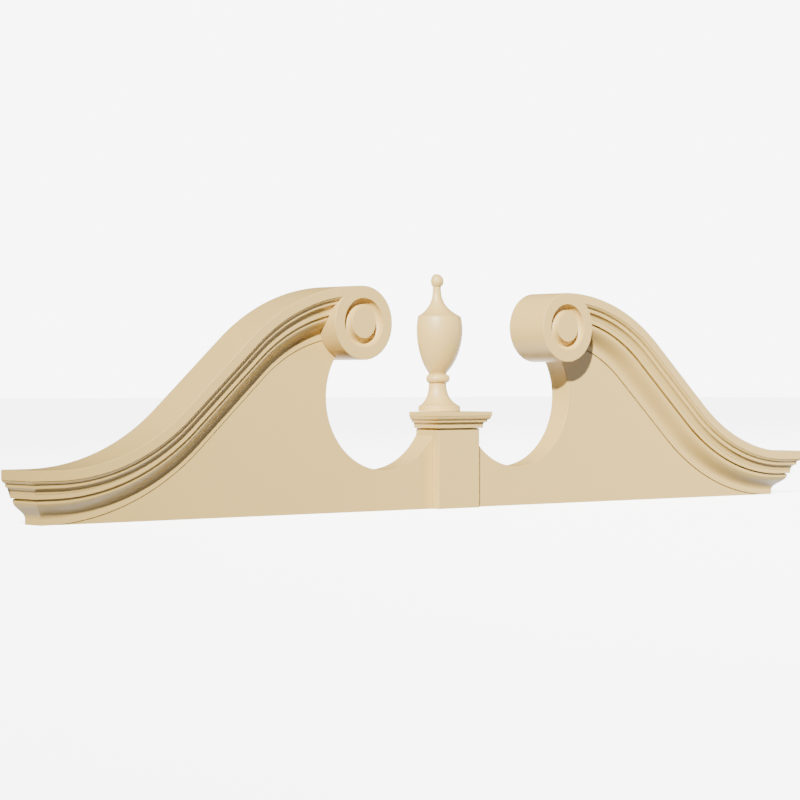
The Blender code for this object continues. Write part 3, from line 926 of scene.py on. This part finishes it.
@dataclass
class UrnFinial(Piece):
    """Turned urn with its lid, half round against the wall."""

    wall_y: float = 0.03725
    base_z: float = 0.1443
    base_radius: float = 0.0360
    base_height: float = 0.0082
    stem_radius: float = 0.0150
    stem_foot_radius: float = 0.0335
    stem_height: float = 0.0344
    ring_radius: float = 0.0203
    ring_height: float = 0.0126
    neck_height: float = 0.0022
    neck_radius: float = 0.0156
    body_height: float = 0.0846
    shoulder_radius: float = 0.0368
    lid_radius: float = 0.0360
    lid_height: float = 0.0407
    spire_radius: float = 0.0071
    spire_height: float = 0.0043
    ball_radius: float = 0.0110
    lid_neck_share: float = 0.53
    lid_rim_shares: tuple[float, float] = (0.52, 0.20)
    lid_lift_share: float = 0.02
    body_upper_shares: tuple[float, float] = (1.17, 0.25)
    body_lower_shares: tuple[float, float] = (1.05, 0.285)
    stem_neck_share: float = 0.47
    stem_foot_shares: tuple[float, float] = (0.70, 0.20)
    stem_foot_lift: float = 0.0005
    base_shoulder: float = 0.0014
    base_ease: float = 0.0012
    ball_steps: int = 24
    lid_steps: int = 26
    body_steps: int = 40
    ring_steps: int = 14
    stem_steps: int = 24
    steps: int = 144

    def profile(self) -> list[Point]:
        """Outer line from the ball's top down, as (radius, height)."""
        stem_top = self.base_height + self.stem_height
        ring_top = stem_top + self.ring_height
        body_foot = ring_top + self.neck_height
        shoulder = body_foot + self.body_height
        lid_top = shoulder + self.lid_height
        turn_to = math.pi - math.asin(self.spire_radius / self.ball_radius)
        ball_z = lid_top + self.spire_height - self.ball_radius * math.cos(turn_to)
        points: list[Point] = []
        for index in range(self.ball_steps + 1):
            angle = turn_to * index / self.ball_steps
            points.append((
                self.ball_radius * math.sin(angle),
                ball_z + self.ball_radius * math.cos(angle),
            ))
        points.append((self.spire_radius, lid_top))
        points += bezier(
            (self.spire_radius, lid_top),
            (self.spire_radius, lid_top - self.lid_neck_share * self.lid_height),
            (
                self.lid_radius - self.lid_rim_shares[0] * (self.lid_radius - self.spire_radius),
                shoulder + self.lid_rim_shares[1] * self.lid_height,
            ),
            (self.lid_radius, shoulder + self.lid_lift_share * self.lid_height),
            self.lid_steps,
        )
        points.append((self.shoulder_radius, shoulder))
        points += bezier(
            (self.shoulder_radius, shoulder),
            (
                self.body_upper_shares[0] * self.shoulder_radius,
                shoulder - self.body_upper_shares[1] * self.body_height,
            ),
            (
                self.body_lower_shares[0] * self.shoulder_radius,
                body_foot + self.body_lower_shares[1] * self.body_height,
            ),
            (self.neck_radius, body_foot),
            self.body_steps,
        )
        middle = (stem_top + ring_top) / 2
        for index in range(self.ring_steps + 1):
            angle = math.pi * index / self.ring_steps
            points.append((
                self.stem_radius + (self.ring_radius - self.stem_radius) * math.sin(angle),
                middle + self.ring_height / 2 * math.cos(angle),
            ))
        flare = self.stem_foot_radius - self.stem_radius
        points += bezier(
            (self.stem_radius, stem_top),
            (self.stem_radius, stem_top - self.stem_neck_share * self.stem_height),
            (
                self.stem_foot_radius - self.stem_foot_shares[0] * flare,
                self.base_height + self.stem_foot_shares[1] * self.stem_height,
            ),
            (self.stem_foot_radius, self.base_height + self.stem_foot_lift),
            self.stem_steps,
        )
        points.append((self.base_radius - self.base_shoulder, self.base_height))
        rim = (self.base_radius, self.base_height)
        points += round_corner(points[-1], rim, (self.base_radius, 0.0), self.base_ease)
        points += [(self.base_radius, 0.0), (0.0, 0.0)]
        return points

    def build(self) -> bpy.types.Object:
        """Turn the urn, cut it flat at the wall and place it."""
        axis = Matrix.Translation((0.0, self.wall_y, self.base_z))
        turned = Joinery.lathe(self.profile(), self.steps, axis)
        wide, high = CUT_REACH, 5 * CUT_REACH
        behind = [(-wide, 0.0), (wide, 0.0), (wide, high), (-wide, high)]
        block = Joinery.prism(behind, self.wall_y, self.wall_y + CUT_REACH)
        return self.place(Joinery.combine(turned, [(block, "DIFFERENCE")]))


@dataclass
class Studio:
    """Pale floor, studio light and the photograph's camera."""

    camera_place: tuple[float, float, float] = (-2.5352, -2.7846, 0.1814)
    camera_turn: float = math.radians(42.26)
    focal_pixels: float = 2520.0
    axis_pixel: Point = (450.5, 386.5)
    frame_pixels: float = 800.0
    sensor: float = 36.0
    floor_size: float = 60.0
    floor_drop: float = 0.0004
    key_way: tuple[float, float, float] = (-0.640, -0.599, 0.481)
    key_distance: float = 20.0
    key_from: tuple[float, float, float] = (0.25, 0.0, 0.27)
    key_target: tuple[float, float, float] = (1.76, 0.0, 0.15)
    key_cone: float = math.radians(17.5)
    key_radius: float = 0.30
    key_power: float = 71500.0
    right_place: tuple[float, float, float] = (5.3, -2.8, 0.6)
    right_power: float = 105.0
    low_place: tuple[float, float, float] = (-1.5, 2.8, -4.0)
    low_power: float = 220.0
    box_size: float = 2.0
    box_target: tuple[float, float, float] = (0.2, 0.0, 0.15)
    sky_dim: float = 0.12
    sky_bright: float = 11.0
    sky_way: tuple[float, float, float] = (0.82, 0.42, -0.38)
    sky_reach: tuple[float, float] = (0.80, 0.98)
    backdrop: float = 8.0

    def build(self) -> None:
        """Make the floor, the lights and the camera."""
        self.floor()
        self.key()
        self.softbox("right_softbox", Vector(self.right_place), self.right_power)
        self.softbox("low_softbox", Vector(self.low_place), self.low_power)
        self.world()
        self.camera()

    def floor(self) -> None:
        """Lay the floor, which is seen but throws no light up at the part."""
        bpy.ops.mesh.primitive_plane_add(size=self.floor_size, location=(0.0, 0.0, -self.floor_drop))
        floor = bpy.context.object
        floor.name = "studio_floor"
        floor.data.materials.append(StudioPaper().build())
        floor.visible_diffuse = False
        floor.visible_glossy = False
        floor.visible_shadow = False

    def hang(self, name: str, data: bpy.types.Light, place: Vector, target: Vector) -> None:
        """Hang a light and turn it to a target.

        Args:
            name: Name of the light.
            data: The light.
            place: Where it hangs.
            target: Where it points.
        """
        lamp = bpy.data.objects.new(name, data)
        lamp.location = place
        lamp.rotation_euler = (target - place).to_track_quat("-Z", "Y").to_euler()
        bpy.context.scene.collection.objects.link(lamp)

    def key(self) -> None:
        """Hang the key spotlight high on the left, turned towards the right-hand end."""
        data = bpy.data.lights.new("key_spot", "SPOT")
        data.energy = self.key_power
        data.shadow_soft_size = self.key_radius
        data.spot_size = self.key_cone
        data.spot_blend = 1.0
        place = Vector(self.key_from) + Vector(self.key_way).normalized() * self.key_distance
        self.hang("key_spot", data, place, Vector(self.key_target))

    def softbox(self, name: str, place: Vector, power: float) -> None:
        """Hang a weak square softbox, turned to the part.

        Args:
            name: Name of the light.
            place: Where it hangs.
            power: Watts.
        """
        data = bpy.data.lights.new(name, "AREA")
        data.shape = "SQUARE"
        data.size = self.box_size
        data.energy = power
        self.hang(name, data, place, Vector(self.box_target))

    def world(self) -> None:
        """Light the part faintly, more from behind on the right, before a bright backdrop."""
        world = bpy.data.worlds.new("studio_sky")
        world.use_nodes = True
        nodes = world.node_tree.nodes
        links = world.node_tree.links
        sky = nodes["Background"]
        sky.inputs["Color"].default_value = (1.0, 1.0, 1.0, 1.0)
        way = nodes.new("ShaderNodeTexCoord")
        facing = nodes.new("ShaderNodeVectorMath")
        facing.operation = "DOT_PRODUCT"
        facing.inputs[1].default_value = self.sky_way
        level = nodes.new("ShaderNodeMapRange")
        level.interpolation_type = "SMOOTHSTEP"
        level.inputs["From Min"].default_value = self.sky_reach[0]
        level.inputs["From Max"].default_value = self.sky_reach[1]
        level.inputs["To Min"].default_value = self.sky_dim
        level.inputs["To Max"].default_value = self.sky_bright
        seen = nodes.new("ShaderNodeLightPath")
        strength = nodes.new("ShaderNodeMix")
        strength.inputs["B"].default_value = self.backdrop
        links.new(way.outputs["Generated"], facing.inputs[0])
        links.new(facing.outputs["Value"], level.inputs["Value"])
        links.new(level.outputs["Result"], strength.inputs["A"])
        links.new(seen.outputs["Is Camera Ray"], strength.inputs["Factor"])
        links.new(strength.outputs["Result"], sky.inputs["Strength"])
        bpy.context.scene.world = world

    def camera(self) -> None:
        """Set the camera at the photograph's place."""
        data = bpy.data.cameras.new("camera")
        data.sensor_width = self.sensor
        data.lens = self.focal_pixels * self.sensor / self.frame_pixels
        data.shift_x = (self.frame_pixels / 2 - self.axis_pixel[0]) / self.frame_pixels
        data.shift_y = (self.axis_pixel[1] - self.frame_pixels / 2) / self.frame_pixels
        data.clip_start = 0.05
        data.clip_end = 100.0
        camera = bpy.data.objects.new("camera", data)
        camera.location = self.camera_place
        camera.rotation_euler = (math.pi / 2, 0.0, -self.camera_turn)
        bpy.context.scene.collection.objects.link(camera)
        bpy.context.scene.camera = camera


def main() -> None:
    """Build every piece, then the studio."""
    logging.basicConfig(level=logging.INFO, format="%(name)s: %(message)s")
    pieces: list[Piece] = [
        Tympanum("tympanum_panel", SatinPaint("panel_paint", seed=1.0)),
        Pedestal("pedestal_block", SatinPaint("pedestal_paint", seed=2.0)),
        PedestalCap("pedestal_cap", SatinPaint("cap_paint", seed=4.0)),
        UrnFinial("urn_finial", SatinPaint("urn_paint", seed=5.0)),
    ]
    for number, side in enumerate(Side):
        crown = SatinPaint("crown_paint_" + side.label, seed=11.0 + number)
        bed = SatinPaint("bed_paint_" + side.label, seed=21.0 + number)
        pieces.append(CrownScroll("crown_scroll_" + side.label, crown, side))
        pieces.append(BedMoulding("bed_moulding_" + side.label, bed, side))
    for piece in pieces:
        piece.build()
    Studio().build()


if __name__ == "__main__":
    main()
